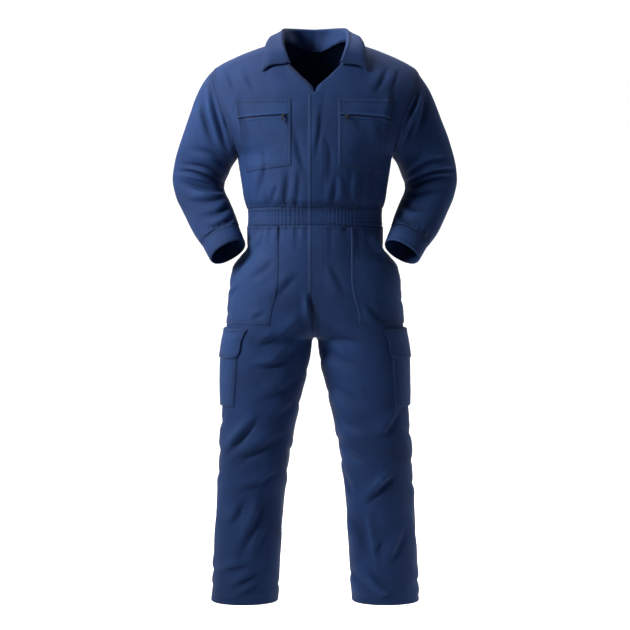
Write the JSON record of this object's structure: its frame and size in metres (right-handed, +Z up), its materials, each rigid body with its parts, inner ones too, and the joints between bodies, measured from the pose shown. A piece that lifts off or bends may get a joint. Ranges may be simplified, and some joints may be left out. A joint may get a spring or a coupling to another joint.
{
  "type": "boiler suit",
  "caption": "Long-sleeved navy twill boiler suit in its worn form, with a shirt collar on an open V neck, concealed front zip, zipped chest, slanted hip and flapped cargo pockets, elastic waist",
  "frame": {"origin": "between the shoulders, level with the neck points, where the wearer carries the suit", "axes": "+Z up, the front faces -Y, +X is the wearer's left"},
  "size_m": [0.7312, 0.2747, 1.4902],
  "materials": {
    "twill": "navy polycotton twill",
    "zip_metal": "gunmetal plated zinc"
  },
  "bodies": {
    "garment": {"bodice_back": "twill", "bodice_front_left": "twill", "bodice_front_right": "twill", "cargo_flap_left": "twill", "cargo_flap_right": "twill", "cargo_pocket_left": "twill", "cargo_pocket_right": "twill", "chest_pocket_left": "twill", "chest_pocket_right": "twill", "collar": "twill", "cuff_left": "twill", "cuff_right": "twill", "fly": "twill", "front_placket": "twill", "hip_pocket_left": "twill", "hip_pocket_right": "twill", "sleeve_left": "twill", "sleeve_right": "twill", "trouser_back_left": "twill", "trouser_back_right": "twill", "trouser_front_left": "twill", "trouser_front_right": "twill", "waistband_back": "twill", "waistband_front_left": "twill", "waistband_front_right": "twill", "waistband_lap": "twill", "zip_slider_left": "zip_metal", "zip_slider_right": "zip_metal"},
    "pull_left": {"zip_pull_left": "zip_metal"},
    "pull_right": {"zip_pull_right": "zip_metal"}
  },
  "joints": [
    {"name": "pull_left_swing", "type": "hinge", "parent": "garment", "child": "pull_left", "pos_m": [0.08009, -0.13551, -0.18949], "axis": [-0.9951, -0.0991, 0], "range_deg": [0, 160]},
    {"name": "pull_right_swing", "type": "hinge", "parent": "garment", "child": "pull_right", "pos_m": [-0.08004, -0.13546, -0.18949], "axis": [-0.9955, 0.0949, 0], "range_deg": [0, 160]}
  ]
}
